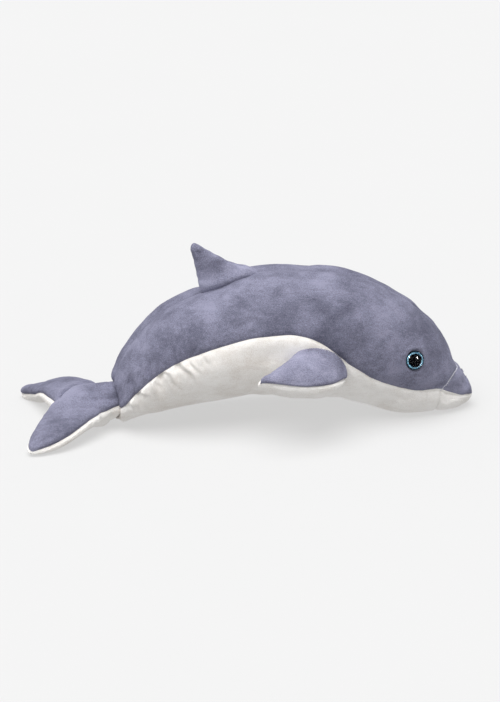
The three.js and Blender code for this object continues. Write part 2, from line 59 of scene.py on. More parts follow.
# ---- Numbers shared with the CAD ----
# Each rib is [back x, back z, belly x, belly z, half width, side seam's angle from the back].
RIBS = np.array([
    [-182, 53, -173, 6, 27, 88],
    [-180, 72, -165, 9, 40, 96],
    [-170, 99, -148, 13, 50, 94],
    [-145, 131, -123, 19, 63, 86],
    [-109, 161, -90, 27, 73, 82],
    [-59, 184, -50, 33, 80, 79],
    [9, 206, 4, 37, 84, 78],
    [76, 205, 63, 34, 85, 79],
    [143, 195, 119, 27, 83, 102],
    [197, 169, 163, 14, 77, 111],
    [239, 134, 200, 0, 67, 107],
    [263, 100, 230, -4, 54, 98],
    [280, 63, 252, -2, 39, 89],
    [291, 42, 271, 1.5, 29, 79],
    [298, 34, 287, 4.5, 20, 74],
    [301, 25, 297, 9, 11, 72],
    [302, 17, 302, 17, 0, 70],
], float)
LAST_RIB = len(RIBS) - 1
BEAK_RIB = 12
EYE_RIB, EYE_ANGLE = 9.66, math.radians(76)
SHIFT_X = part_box("beak_upper_panel")[1].x / MM - 302  # the table's frame to the CAD's
SIDES = {"right": -1, "left": 1}

# ---- Sizes of the looks ----
PANEL_THICKNESS = 2.4
FLOOR_GAP = 0.15  # the lowest that a skin lies
THREAD_RADIUS, BEAK_THREAD_RADIUS, THREAD_SIDES = 0.33, 0.42, 6
FIN_SEAM_DEPTH, FIN_THREAD_DEPTH = 1.8, 1.4
FIN_ROUNDNESS = 0.86  # 1 is an ellipse, less is boxier
LATHE_STEPS = 72
EYE_TURN = np.array([-0.25, 0, 0])  # added to the outward direction, so the eyes look a little back
EYE_SHIFT = np.array([-1.4, 0, 1.0])  # moves each eye back and up to where the photograph shows it
EYE_LIFT = 0.7


def joint(name):
    return next(j for j in frame["joints"] if j["name"] == name)


# ---- Noise ----
SEED_STEP = 17.31


def grid_noise(grid, size, seed):
    """Smooth noise from about -1 to 1 at each point of a grid, with features about `size` mm long."""
    points = grid.reshape(-1, 3) / size + seed * SEED_STEP
    return np.array([noise.noise(p) for p in points]).reshape(grid.shape[:2])


def smoothstep(low, high, x):
    t = np.clip((x - low) / (high - low), 0, 1)
    return t * t * (3 - 2 * t)


def bell(x, width):
    return np.exp(-((x / width) ** 2))


# ---- Meshes ----
def new_mesh(name, points, faces):
    """A mesh from points in mm."""
    mesh = bpy.data.meshes.new(name)
    mesh.from_pydata((np.asarray(points).reshape(-1, 3) * MM).tolist(), [], faces)
    return mesh


def loop_faces(rows, columns, capped=True):
    """Faces of a tube of closed loops, with a face on each end if capped."""
    index = np.arange(rows * columns).reshape(rows, columns)
    after = np.roll(index, -1, 1)
    faces = np.stack([index[:-1], after[:-1], after[1:], index[1:]], -1).reshape(-1, 4).tolist()
    if capped:
        faces += [index[0][::-1].tolist(), index[-1].tolist()]
    return faces


def turn_outwards(mesh, merge_m=0.0):
    """Merges points that lie together and turns all faces outwards."""
    bm = bmesh.new()
    bm.from_mesh(mesh)
    if merge_m:
        bmesh.ops.remove_doubles(bm, verts=bm.verts, dist=merge_m)
    bmesh.ops.recalc_face_normals(bm, faces=bm.faces)
    if bm.calc_volume(signed=True) < 0:
        bmesh.ops.reverse_faces(bm, faces=bm.faces)
    bm.to_mesh(mesh)
    bm.free()


def new_object(name, mesh, material):
    mesh.polygons.foreach_set("use_smooth", np.ones(len(mesh.polygons), bool))
    mesh.materials.append(material)
    o = bpy.data.objects.new(name, mesh)
    bpy.context.scene.collection.objects.link(o)
    return o


def hold(o, body, line=None):
    """Fixes a piece to a body, or, given a line, only bakes the piece's placement into its mesh; the
    line's points are not used.
    """
    if line is None:
        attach(o, body)
    else:
        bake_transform(o)


# ---- Tubes: closed loops in rows, from which panels are cut ----
def normals_of(grid):
    """Unit normals of rows of closed loops."""
    down = np.roll(grid, -1, 1) - np.roll(grid, 1, 1)
    forward = np.gradient(grid, axis=0)
    n = np.cross(down, forward)
    length = np.linalg.norm(n, axis=2, keepdims=True)
    n = n / np.maximum(length, 1e-9)
    for row in (0, -1):
        if length[row].max() < 1e-3:
            nearest = 1 if row == 0 else -2
            axis = grid[row].mean(0) - grid[nearest].mean(0)
            n[row] = axis / np.linalg.norm(axis)
    return n


def outward_normals(grid, centre):
    n = normals_of(grid)
    return -n if ((grid - centre) * n).sum() < 0 else n


def panel(name, grid, normals, rows, columns, material, groove_shade):
    """A closed shell from part of a tube: rows and columns are index ranges, both ends included."""
    r = np.arange(rows[0], rows[1] + 1)
    c = np.arange(columns[0], columns[1] + 1) % grid.shape[1]
    outer = grid[np.ix_(r, c)]
    inner = outer - normals[np.ix_(r, c)] * PANEL_THICKNESS
    nr, nc = outer.shape[:2]
    index = np.arange(nr * nc).reshape(nr, nc)
    back = index + nr * nc

    def quads(a):
        return np.stack([a[:-1, :-1], a[1:, :-1], a[1:, 1:], a[:-1, 1:]], -1).reshape(-1, 4)

    faces = [quads(index), quads(back)[:, ::-1]]
    around = np.concatenate([index[:-1, 0], index[-1, :-1], index[:0:-1, -1], index[0, :0:-1]])
    after = np.roll(around, -1)
    shift = nr * nc
    faces.append(np.stack([around, around + shift, after + shift, after], -1))
    mesh = new_mesh(name, np.concatenate([outer.reshape(-1, 3), inner.reshape(-1, 3)]),
                    np.concatenate(faces).tolist())
    # Painted shade for the seams' grooves, stored per point so the material can darken the colour there.
    part = groove_shade[np.ix_(r, c)].ravel()
    values = np.concatenate([part, part]).astype(np.float32)
    mesh.attributes.new("groove_shade", "FLOAT", "POINT").data.foreach_set("value", values)
    turn_outwards(mesh, merge_m=2e-6)
    return new_object(name, mesh, material)


def tube_mesh(name, points, radius, material):
    """A closed round thread along points, in mm."""
    points = np.asarray(points, float)
    tangent = np.gradient(points, axis=0)
    tangent /= np.linalg.norm(tangent, axis=1, keepdims=True)
    guide = np.cross(tangent, [0.31, 0.57, 0.76])
    guide /= np.linalg.norm(guide, axis=1, keepdims=True)
    other = np.cross(tangent, guide)
    turn = np.arange(THREAD_SIDES) * TAU / THREAD_SIDES
    rings = (points[:, None] + radius * (np.cos(turn)[None, :, None] * guide[:, None]
                                         + np.sin(turn)[None, :, None] * other[:, None]))
    return new_object(name, new_mesh(name, rings, loop_faces(len(points), THREAD_SIDES)), material)


# ---- Stuffing ----
SIM_FRAMES = 20
COARSE_STEP = 3  # the cloth has every third row and column of its tube
SMALLEST_LOOP = 8  # narrower rows are left out of the cloth
CLOTH_MASS, CLOTH_QUALITY = 0.3, 6
STRETCH_STIFFNESS, SHEAR_STIFFNESS, BENDING_STIFFNESS = 18, 6, 0.4
FINE_BLUR, BROAD_BLUR = 2, 18  # only the change between these two smoothings is kept
SLENDER, STOUT = 30, 110  # lengths round a loop between which the change sets in


def blurred(field, passes):
    """A field on rows of closed loops, smoothed."""
    for _ in range(passes):
        field = (np.roll(field, 1, 1) + 2 * field + np.roll(field, -1, 1)) / 4
        field[1:-1] = (field[:-2] + 2 * field[1:-1] + field[2:]) / 4
    return field


def stuffed(grid, pinned, seams, pressure, shrink, cap):
    """How far stuffing moves each point, at most cap: cloth under pressure with shrunken seams."""
    rows = [r for r in range(0, len(grid), COARSE_STEP) if np.ptp(grid[r], axis=0).max() > SMALLEST_LOOP]
    columns = np.arange(0, grid.shape[1], COARSE_STEP)
    coarse = grid[np.ix_(rows, columns)]
    nr, nc = coarse.shape[:2]
    index = np.arange(nr * nc).reshape(nr, nc)
    mesh = new_mesh("stuffing", coarse, loop_faces(nr, nc))
    turn_outwards(mesh)
    o = bpy.data.objects.new("stuffing", mesh)
    scene = bpy.context.scene
    scene.collection.objects.link(o)
    pins = o.vertex_groups.new(name="pins")
    for i, r in enumerate(rows):
        if pinned(r):
            pins.add(index[i].tolist(), 1.0, "REPLACE")
    sewn = o.vertex_groups.new(name="sewn")
    for c in seams:
        near = np.argmin(np.abs(columns - c))
        sewn.add(index[:, near].tolist(), 1.0, "REPLACE")
    cloth = o.modifiers.new("cloth", "CLOTH")
    settings = cloth.settings
    settings.quality = CLOTH_QUALITY
    settings.mass = CLOTH_MASS
    settings.tension_stiffness = settings.compression_stiffness = STRETCH_STIFFNESS
    settings.shear_stiffness = SHEAR_STIFFNESS
    settings.bending_stiffness = BENDING_STIFFNESS
    settings.vertex_group_mass = "pins"
    settings.vertex_group_shrink = "sewn"
    settings.shrink_min, settings.shrink_max = 0.0, shrink
    settings.use_pressure = True
    settings.uniform_pressure_force = pressure
    settings.effector_weights.gravity = 0
    cloth.collision_settings.use_collision = False
    for frame_number in range(1, SIM_FRAMES + 1):
        scene.frame_set(frame_number)
    moved = o.evaluated_get(bpy.context.evaluated_depsgraph_get()).to_mesh()
    after = np.empty(nr * nc * 3)
    moved.vertices.foreach_get("co", after)
    change = after.reshape(nr, nc, 3) / MM - coarse
    bpy.data.objects.remove(o)
    bpy.data.meshes.remove(mesh)
    scene.frame_set(1)
    if not np.isfinite(change).all():
        raise RuntimeError("the cloth didn't settle")
    change = blurred(change, FINE_BLUR) - blurred(change, BROAD_BLUR)
    around = np.linalg.norm(np.roll(coarse, -1, 1) - coarse, axis=2).sum(1)
    change *= smoothstep(SLENDER, STOUT, around)[:, None, None]
    length = np.linalg.norm(change, axis=2, keepdims=True)
    change *= np.minimum(1, cap / np.maximum(length, 1e-6))
    # From the cloth's points back to all rows and columns.
    wide = np.concatenate([change, change[:, :1]], 1)
    wide_columns = np.append(columns, grid.shape[1])
    fine_columns = np.arange(grid.shape[1])
    across = np.stack([[np.interp(fine_columns, wide_columns, row[:, k]) for k in range(3)]
                       for row in wide]).transpose(0, 2, 1)
    fine_rows = np.arange(len(grid))
    flat = across.reshape(nr, -1)
    full = np.stack([np.interp(fine_rows, rows, flat[:, k]) for k in range(flat.shape[1])], 1)
    return blurred(full.reshape(grid.shape), FINE_BLUR)


# ---- Materials ----
# Layers of the plush's colour: stretch, turn in degrees, then the noise's scale, detail, distortion and
# roughness, and the layer's share. They are brushed patches, broad patches, streaks and speckle.
PLUSH_LAYERS = [((0.9, 1.0, 1.2), 18, (36, 6, 0.25, 0.62), 0.31), ((1, 1, 1), 0, (11, 2, 0.1), 0.31),
                ((0.35, 1.0, 1.3), -25, (170, 3, 0.6), 0.10), ((1, 1, 1), 0, (900, 2), 0.34)]
DARK_AT, MIDDLE_AT, LIGHT_AT = 0.38, 0.5, 0.62
PILE_SHARE, TUFT_SHARE = 0.45, 0.55
PILE_STRENGTH, PILE_DEPTH_M = 0.8, 0.0012
PILE_ROUGHNESS, SHEEN_ROUGHNESS = 0.92, 0.45
GRAIN_STRENGTH = 0.4
LENS_GLOSS = 0.005  # enough for the catch lights, too little for the white room


class Look:
    """A material being made, with short ways to add and join its nodes. In the names of inputs an
    underscore stands for a space."""

    def __init__(self, name):
        self.material = bpy.data.materials.new(name)
        self.material.use_nodes = True
        self.nodes = self.material.node_tree.nodes
        self.join = self.material.node_tree.links.new
        self.shader = self.nodes["Principled BSDF"]
        self.place = self.nodes.new("ShaderNodeTexCoord").outputs["Object"]

    def set(self, **values):
        for key, value in values.items():
            self.shader.inputs[key.replace("_", " ")].default_value = value

    def add(self, kind, **values):
        n = self.nodes.new(kind)
        for key, value in values.items():
            if hasattr(n, key):
                setattr(n, key, value)
            else:
                n.inputs[key.replace("_", " ")].default_value = value
        return n

    def mapped(self, stretch, degrees):
        """Places stretched and turned about y, for marks that run one way."""
        n = self.add("ShaderNodeMapping", Scale=stretch, Rotation=(0, math.radians(degrees), 0))
        self.join(self.place, n.inputs["Vector"])
        return n.outputs[0]

    def noise(self, source, scale, detail=2.0, distortion=0.0, roughness=0.5):
        n = self.add("ShaderNodeTexNoise", Scale=scale, Detail=detail, Distortion=distortion,
                     Roughness=roughness)
        self.join(source, n.inputs["Vector"])
        return n.outputs["Fac"]

    def maths(self, operation, a, b):
        n = self.add("ShaderNodeMath", operation=operation)
        for socket, value in zip(n.inputs, (a, b)):
            if isinstance(value, (int, float)):
                socket.default_value = value
            else:
                self.join(value, socket)
        return n.outputs[0]

    def ramp(self, source, stops):
        n = self.nodes.new("ShaderNodeValToRGB")
        while len(n.color_ramp.elements) < len(stops):
            n.color_ramp.elements.new(0.5)
        for element, (place, colour) in zip(n.color_ramp.elements, stops):
            element.position = place
            element.color = (*colour, 1)
        self.join(source, n.inputs["Fac"])
        return n.outputs["Color"]

    def bump(self, height, strength, depth_m):
        n = self.add("ShaderNodeBump", Strength=strength, Distance=depth_m)
        self.join(height, n.inputs["Height"])
        self.join(n.outputs[0], self.shader.inputs["Normal"])


def plush(name, dark, middle, light, groove_shade_colour, sheen, contrast=1.0):
    """Short-pile plush: brushed patches, fine pile, and painted shade that darkens the colour in the
    seams' grooves.
    """
    look = Look(name)
    total = 0.5 - 0.5 * contrast
    for stretch, degrees, settings, share in PLUSH_LAYERS:
        layer = look.noise(look.mapped(stretch, degrees), *settings)
        total = look.maths("ADD", look.maths("MULTIPLY", layer, share * contrast), total)
    colour = look.ramp(total, [(DARK_AT, dark), (MIDDLE_AT, middle), (LIGHT_AT, light)])
    # Painted shade: the colour is mixed towards a darker one where the mesh marks a seam's groove or the
    # tail's crease.
    groove_shade = look.add("ShaderNodeAttribute", attribute_name="groove_shade")
    dim = look.add("ShaderNodeMix", data_type="RGBA", blend_type="MIX")
    look.join(groove_shade.outputs["Fac"], dim.inputs["Factor"])
    look.join(colour, dim.inputs["A"])
    dim.inputs["B"].default_value = (*groove_shade_colour, 1)
    look.join(dim.outputs["Result"], look.shader.inputs["Base Color"])
    look.set(Roughness=PILE_ROUGHNESS, Specular_IOR_Level=0.0, Sheen_Weight=sheen,
             Sheen_Roughness=SHEEN_ROUGHNESS, Sheen_Tint=(*[min(1, 1.5 * c + 0.15) for c in light], 1))
    pile = look.maths("MULTIPLY", look.noise(look.place, 1300, 3), PILE_SHARE)
    tufts = look.maths("MULTIPLY", look.noise(look.place, 330, 3, 0.8), TUFT_SHARE)
    look.bump(look.maths("ADD", pile, tufts), PILE_STRENGTH, PILE_DEPTH_M)
    return look.material


def plain(name, colour, roughness, size, vary=0.15, bump_depth_m=0.0002, **inputs):
    """A material with fine colour variation and grain."""
    look = Look(name)
    grain = look.noise(look.place, size, 3)
    low = [c * (1 - vary) for c in colour]
    high = [min(1, c * (1 + vary)) for c in colour]
    look.join(look.ramp(grain, [(0.3, low), (0.7, high)]), look.shader.inputs["Base Color"])
    look.set(Roughness=roughness, **inputs)
    look.bump(grain, GRAIN_STRENGTH, bump_depth_m)
    return look.material


# Darker colours for the painted shade in the seam grooves and creases.
GREY_GROOVE_SHADE, WHITE_GROOVE_SHADE = (0.15, 0.15, 0.21), (0.60, 0.56, 0.52)
GREY = plush("grey_plush", (0.076, 0.078, 0.112), (0.150, 0.151, 0.209), (0.272, 0.272, 0.367),
             GREY_GROOVE_SHADE, sheen=0.25)
# A lighter copy of the grey plush for the flippers and dorsal fin: painted light for the brighter light
# on their upward-facing sides.
PAINTED_LIGHT_GREY = plush("grey_plush_painted_light", (0.095, 0.095, 0.137), (0.198, 0.198, 0.272), (0.34, 0.34, 0.455),
                  GREY_GROOVE_SHADE, sheen=0.25)
WHITE = plush("white_plush", (0.74, 0.69, 0.64), (0.86, 0.83, 0.795), (0.95, 0.93, 0.905),
              WHITE_GROOVE_SHADE, sheen=0.2, contrast=1.25)
FILLING = plain("filling_fibre", (0.86, 0.86, 0.84), 1.0, size=260, bump_depth_m=0.002)
GREY_THREAD = plain("grey_thread", (0.66, 0.66, 0.74), 0.6, size=1600)
WHITE_THREAD = plain("white_thread", (0.86, 0.84, 0.80), 0.6, size=1600)
BLACK_PLASTIC = plain("black_plastic", (0.003, 0.003, 0.004), 0.2, size=60, vary=0.4,
                      bump_depth_m=0.000001, Specular_IOR_Level=0.0)
WASHER = plain("washer_plastic", (0.62, 0.62, 0.60), 0.5, size=300)


def glitter_material():
    look = Look("eye_glitter")
    flakes = look.add("ShaderNodeTexVoronoi", Scale=1500)
    look.join(look.place, flakes.inputs["Vector"])
    separate = look.add("ShaderNodeSeparateColor")
    look.join(flakes.outputs["Color"], separate.inputs[0])
    colour = look.ramp(separate.outputs[0], [
        (0.0, (0.002, 0.015, 0.04)), (0.5, (0.005, 0.06, 0.12)), (0.82, (0.02, 0.22, 0.34)),
        (1.0, (0.30, 0.70, 0.82))])
    look.join(colour, look.shader.inputs["Base Color"])
    look.set(Metallic=0.2, Roughness=0.35)
    look.bump(separate.outputs[1], 0.8, 0.0004)
    return look.material


def lens_material():
    """Clear plastic: what is behind it shows through, under a faint gloss."""
    look = Look("eye_lens")
    haze = look.ramp(look.noise(look.place, 500, 2), [(0.3, (0.97, 0.98, 0.99)), (0.7, (1, 1, 1))])
    clear = look.add("ShaderNodeBsdfTransparent")
    look.join(haze, clear.inputs[0])
    gloss = look.add("ShaderNodeBsdfGlossy", Roughness=0.055)
    mix = look.add("ShaderNodeMixShader")
    mix.inputs[0].default_value = LENS_GLOSS
    look.join(clear.outputs[0], mix.inputs[1])
    look.join(gloss.outputs[0], mix.inputs[2])
    look.join(mix.outputs[0], look.nodes["Material Output"].inputs["Surface"])
    look.nodes.remove(look.shader)
    return look.material


GLITTER, LENS = glitter_material(), lens_material()

# ---- The torso ----
def along(column, u):
    """A rib value between ribs, on a smooth curve through them."""
    u = np.clip(u, 0, LAST_RIB)
    i = np.minimum(np.floor(u).astype(int), LAST_RIB - 1)
    t = u - i
    v = RIBS[:, column]
    a, b = v[np.maximum(i - 1, 0)], v[i]
    c, d = v[i + 1], v[np.minimum(i + 2, LAST_RIB)]
    slope_in = np.where(i == 0, c - b, (c - a) / 2)
    slope_out = np.where(i == LAST_RIB - 1, c - b, (d - b) / 2)
    return (b * (2 * t**3 - 3 * t**2 + 1) + slope_in * (t**3 - 2 * t**2 + t)
            + c * (3 * t**2 - 2 * t**3) + slope_out * (t**3 - t**2))


def torso_point(u, angle):
    lean = np.cos(angle)
    bx, bz, cx, cz = (along(k, u) for k in range(4))
    x = (bx + cx) / 2 + (bx - cx) / 2 * lean + SHIFT_X
    y = -np.maximum(along(4, u), 0) * np.sin(angle)
    z = (bz + cz) / 2 + (bz - cz) / 2 * lean
    return np.stack([x, y, np.maximum(z, 0)], -1)


def seam_at(u):
    """The side seam's angle from the back: it runs a little higher along the rear of the body."""
    return np.radians(along(5, u) - 3.8 * bell(u - 3.6, 2.2) + 2.2 * bell(u - 8.3, 1.2))


def length_table():
    u = np.linspace(0, LAST_RIB, 1601)
    path = (torso_point(u, np.zeros_like(u)) + torso_point(u, np.full_like(u, math.pi / 2)) * 2
            + torso_point(u, np.full_like(u, math.pi))) / 4
    steps = np.linalg.norm(np.diff(path, axis=0), axis=1)
    return u, np.concatenate([[0], np.cumsum(steps)])


U_TABLE, L_TABLE = length_table()


def length_at(u):
    return np.interp(u, U_TABLE, L_TABLE)


def rib_at(length):
    return np.interp(length, L_TABLE, U_TABLE)


# Folds near the tail: place along the body, reach from the side seam (down the belly, or up the back if
# negative), depth and width.
FOLDS = [(26, 26, 2.97, 2.6), (46, 30, 2.7, 2.2), (68, 24, 3.24, 2.4), (85, 36, 3.78, 2.6),
         (107, 40, 3.51, 2.8), (119, 28, 2.43, 2.2), (138, 24, 1.62, 2.4), (24, -34, 2.43, 3.2),
         (40, -26, 2.025, 2.8), (58, -38, 2.295, 3.4), (76, -24, 1.62, 3.0), (98, -34, 2.025, 3.2),
         (126, -22, 1.35, 3.0)]
FOLD_SLANT = 0.45
SIDE_BOW, TOP_BOW, BOW_REACH = 14, 6, 30  # the beak's seam bows forward at the sides and back on top
SIDE_GROOVE_WIDTH, BACK_GROOVE_WIDTH, BEAK_GROOVE_WIDTH, BEAK_GROOVE_DEPTH = 2.6, 3.0, 3.0, 1.5
TIP_CAP, TIP_START = 2, 9  # distances from the beak's tip between which it becomes one smooth cap
LUMPS = [(1.6, 75, 1), (0.7, 30, 2), (0.22, 3.2, 7)]  # height, size and seed of the filling and pile
BACK_COLUMNS, BELLY_COLUMNS = 78, 104
BODY_ROWS, BEAK_ROWS = 250, 44
TOTAL_COLUMNS = 2 * BACK_COLUMNS + BELLY_COLUMNS


def torso_angles(u):
    """Angles of all columns at each rib place: back seam, right seam, left seam and round again."""
    seam = seam_at(u)[:, None]
    first = np.linspace(0, 1, BACK_COLUMNS, endpoint=False)[None]
    second = np.linspace(0, 1, BELLY_COLUMNS, endpoint=False)[None]
    return np.concatenate([seam * first, seam + (TAU - 2 * seam) * second,
                           TAU - seam + seam * first], 1)


def torso_rows():
    body = rib_at(np.linspace(0, length_at(BEAK_RIB), BODY_ROWS + 1))
    t = np.linspace(0, 1, BEAK_ROWS + 1)[1:]
    beak = rib_at(length_at(BEAK_RIB) + (L_TABLE[-1] - length_at(BEAK_RIB)) * t)
    return np.concatenate([body, beak])


def seam_offsets(run, from_side, from_back, from_beak):
    """Grooves along the torso's seams, and the fabric that rises beside them."""
    on_head = from_beak < 0
    side_depth = 1.3 + 1.2 * bell(run - 20, 40)
    back_depth = (0.7 + 0.9 * smoothstep(250, 330, run)) * smoothstep(4, 20, run) * on_head
    grooves = (side_depth * bell(from_side, SIDE_GROOVE_WIDTH)
               + back_depth * bell(from_back, BACK_GROOVE_WIDTH)
               + BEAK_GROOVE_DEPTH * bell(from_beak, BEAK_GROOVE_WIDTH))
    beside = 0.9 * bell(np.abs(from_side) - 11, 8) + 0.7 * bell(from_back - 14, 10) * on_head
    return beside - grooves


def gather_offsets(base, angle, run, from_side):
    """Gathers across the side seams, strongest near the tail, and the tail's narrowed opening."""
    flow = np.stack([run, from_side * 0.12, np.sign(base[..., 1]) * 40], -1)
    belly_folds = 1 - 3.2 * np.abs(grid_noise(flow, 17, 3))
    gathers = np.where(from_side > 0, belly_folds, grid_noise(flow, 14, 3)) + 0.6 * grid_noise(flow, 7, 4)
    reach = np.where(from_side > 0, 30, 40)
    strength = 5.5 * bell(run - 62, 62) * bell(from_side, reach) + 0.6 * bell(from_side, 14)
    ring = np.stack([np.cos(angle) * 26, np.sin(angle) * 26, run * 0.16], -1)
    puckers = (2.6 * grid_noise(ring, 8, 5) + 1.2 * grid_noise(ring, 4, 6)) * bell(run - 2, 26)
    narrowing = 6.5 * bell(run, 6.5) + 2.6 * bell(run - 52, 40) * np.clip(np.cos(angle) + 0.3, 0, 1)
    return gathers * strength * smoothstep(0, 14, run) + puckers - narrowing


def beak_offsets(angle, from_beak):
    """The beak swells out of its seam, and the forehead rises behind it."""
    upper = np.clip(np.cos(angle), 0, 1)
    upper_and_sides = np.clip(np.cos(angle) + 0.35, 0, 1)
    under = np.clip(0.3 - np.cos(angle), 0, 1)
    swell = 0.8 * bell(from_beak - 11, 8) + 4.2 * bell(from_beak - 5, 13) * upper
    swell += 4.2 * smoothstep(12, 34, from_beak) * upper_and_sides
    swell += 3.6 * smoothstep(-6, 30, from_beak) * under
    forehead = 1.2 * bell(from_beak + 50, 24) - 1.8 * (1 - bell(from_beak, 90))
    return swell + forehead * upper * (from_beak < 0)


def fold_offsets(run, from_side):
    """Folds that run out from the side seams near the tail."""
    total = np.zeros_like(run)
    for run_at, reach, depth, width in FOLDS:
        down = from_side / reach
        wander = 1.6 * np.sin(from_side / 6 + run_at)
        line = run - run_at - FOLD_SLANT * from_side * np.sign(reach) + wander
        ends = smoothstep(0.0, 0.12, down) * smoothstep(1.3, 0.4, down)
        share = np.where((down > 0) & (down < 1.3), ends, 0)
        total += depth * share * (0.55 * bell(line - 1.7 * width, 1.2 * width) - bell(line, width))
    return total


def eye_offsets(base):
    """The eyes pull the fabric in, and it rises a little round them."""
    total = np.zeros(base.shape[:2])
    for sign in SIDES.values():
        centre, _ = eye_place(sign)
        away = np.linalg.norm(base - centre, axis=2)
        total += 1.2 * bell(away - 17, 5) - 2.8 * smoothstep(16, 11, away)
    return total


def torso_surface():
    """The stuffed torso's outer surface, with its normals and the painted shade of its seams' grooves and
    the tail's crease.
    """
    u = torso_rows()
    angle = torso_angles(u)
    run = np.repeat(length_at(u)[:, None], TOTAL_COLUMNS, 1)
    from_beak = run - length_at(BEAK_RIB)
    bow = SIDE_BOW * np.sin(angle) ** 2 - TOP_BOW * np.clip(np.cos(angle), 0, 1) ** 2
    bowed_u = rib_at(run - bow * bell(from_beak, BOW_REACH))
    base = torso_point(bowed_u.ravel(), angle.ravel()).reshape(*bowed_u.shape, 3)
    base = base + stuffed(base, lambda r: r < 3, (0, BACK_COLUMNS, BACK_COLUMNS + BELLY_COLUMNS),
                          pressure=4.0, shrink=0.06, cap=1.8)
    base[..., 2] = np.maximum(base[..., 2], 0)
    normals = normals_of(base)
    radius = np.maximum(along(4, bowed_u), 4)
    wrapped = np.where(angle > math.pi, TAU - angle, angle)
    from_side = (wrapped - seam_at(bowed_u)) * radius
    from_back = wrapped * radius
    offset = (seam_offsets(run, from_side, from_back, from_beak)
              + gather_offsets(base, angle, run, from_side)
              + beak_offsets(angle, from_beak)
              + fold_offsets(run, from_side)
              + eye_offsets(base)
              + sum(height * grid_noise(base, size, seed) for height, size, seed in LUMPS))
    tip = smoothstep(TIP_START, TIP_CAP, run[-1, 0] - run)
    nose = normals[-8].mean(axis=0)
    cap_normals = nose / np.linalg.norm(nose) * tip[..., None]
    normals = normals * (1 - tip[..., None]) + cap_normals
    offset = offset * (1 - tip) + offset[-12].mean() * tip
    surface = base + normals * offset[..., None]
    surface[..., 2] = np.maximum(surface[..., 2], FLOOR_GAP)
    # Painted shade: how much darker the colour is made along the side, beak and back seams' grooves and
    # in the tail's crease.
    groove_shade = np.clip(0.3 * bell(from_side, 1.5) + 0.15 * bell(from_beak, 1.5)
                     + 0.3 * bell(from_back, 1.8) * (from_beak < 0) + 0.95 * bell(run, 4), 0, 1)
    outward = normals_of(surface) * (1 - tip[..., None]) + cap_normals
    return surface, outward / np.linalg.norm(outward, axis=2, keepdims=True), groove_shade


def eye_place(sign):
    """Centre and outward direction of an eye on the torso's surface."""
    step = 1e-3
    p = torso_point(np.array(EYE_RIB), np.array(EYE_ANGLE))
    du = torso_point(np.array(EYE_RIB + step), np.array(EYE_ANGLE)) - p
    da = torso_point(np.array(EYE_RIB), np.array(EYE_ANGLE + step)) - p
    n = np.cross(du, da)
    n /= np.linalg.norm(n)
    if n[1] > 0:
        n = -n
    flip = np.array([1, -sign, 1])
    return p * flip, n * flip


def build_torso():
    surface, normals, groove_shade = torso_surface()
    right, left = BACK_COLUMNS, BACK_COLUMNS + BELLY_COLUMNS
    parts = [
        ("back_right", (0, BODY_ROWS), (0, right), GREY, "grey_plush", ["back_panel_right"]),
        ("back_left", (0, BODY_ROWS), (left, TOTAL_COLUMNS), GREY, "grey_plush", ["back_panel_left"]),
        ("belly", (0, BODY_ROWS), (right, left), WHITE, "white_plush", ["belly_panel"]),
        ("beak_upper", (BODY_ROWS, BODY_ROWS + BEAK_ROWS), (left, TOTAL_COLUMNS + right), GREY,
         "grey_plush", ["beak_upper_panel"]),
        ("beak_lower", (BODY_ROWS, BODY_ROWS + BEAK_ROWS), (right, left), WHITE, "white_plush",
         ["beak_lower_panel"]),
    ]
    for name, rows, columns, material, slot, nodes in parts:
        o = panel(name, surface, normals, rows, columns, material, groove_shade)
        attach(o, "torso")
        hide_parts(*nodes)
    return surface, normals


def filling(name, grid, share, body, line=None):
    """The stuffing inside a tube: the same shape, drawn in towards its middle."""
    grid = grid[:, ::3]
    middle = grid.mean(axis=1, keepdims=True)
    inner = middle + (grid - middle) * share
    mesh = new_mesh(name, inner, loop_faces(*inner.shape[:2]))
    o = new_object(f"{name}_look", mesh, FILLING)
    hold(o, body, line)
    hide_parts(name)


# ---- Fins ----
def spline(points, x):
    """A smooth curve through (x, y) points, flat beyond its ends."""
    p = np.array(points, float)
    xs, ys = p[:, 0], p[:, 1]
    slopes = np.gradient(ys, xs)
    i = np.clip(np.searchsorted(xs, x, side="right") - 1, 0, len(xs) - 2)
    h = xs[i + 1] - xs[i]
    t = np.clip((x - xs[i]) / h, 0, 1)
    return (ys[i] * (2 * t**3 - 3 * t**2 + 1) + slopes[i] * h * (t**3 - 2 * t**2 + t)
            + ys[i + 1] * (3 * t**2 - 2 * t**3) + slopes[i + 1] * h * (t**3 - t**2))


def section(angle):
    """A rounded section: across and up, each from -1 to 1, at angles from the top."""
    s, c = np.sin(angle), np.cos(angle)
    return np.sign(s) * np.abs(s) ** FIN_ROUNDNESS, np.sign(c) * np.abs(c) ** FIN_ROUNDNESS


def fin_surface(place, lead, trail, height, seams, columns, bend=None, belly=1.0):
    """Rows of loops round a fin. lead, trail and height hold a value per row; seams are the angles
    from the top at which the leading and trailing seams lie; belly swells the lower side."""
    top, bottom = columns
    front, back = (np.broadcast_to(v, len(height)) for v in seams)
    upper = np.linspace(-back, front, top, endpoint=False)
    lower = np.linspace(front, TAU - back, bottom, endpoint=False)
    across, up = section(np.concatenate([upper, lower]).T)
    up = np.where(up < 0, up * belly, up)
    middle, half = (lead + trail) / 2, (lead - trail) / 2
    plan = middle[:, None] + half[:, None] * across[..., None]
    h = height[:, None] * up
    if bend is not None:
        h = h + bend(plan[..., 0], plan[..., 1])
    return place(plan[..., 0], plan[..., 1], h)


def fin_rows(count, tucked, bluntness):
    """A fin's rows: how far out each is (0 at the root, 1 at the tip), how far it is tucked into the
    torso (-1 to 0), and how much of its width is left where the tip closes."""
    t = np.linspace(-tucked, 1, count)
    row = np.where(t > 0, np.sin(np.clip(t, 0, 1) * math.pi / 2), 0)
    shut = np.sqrt(np.maximum(1 - row**bluntness, 0))
    shut[-1] = 0
    return row, np.minimum(t, 0) / tucked, shut


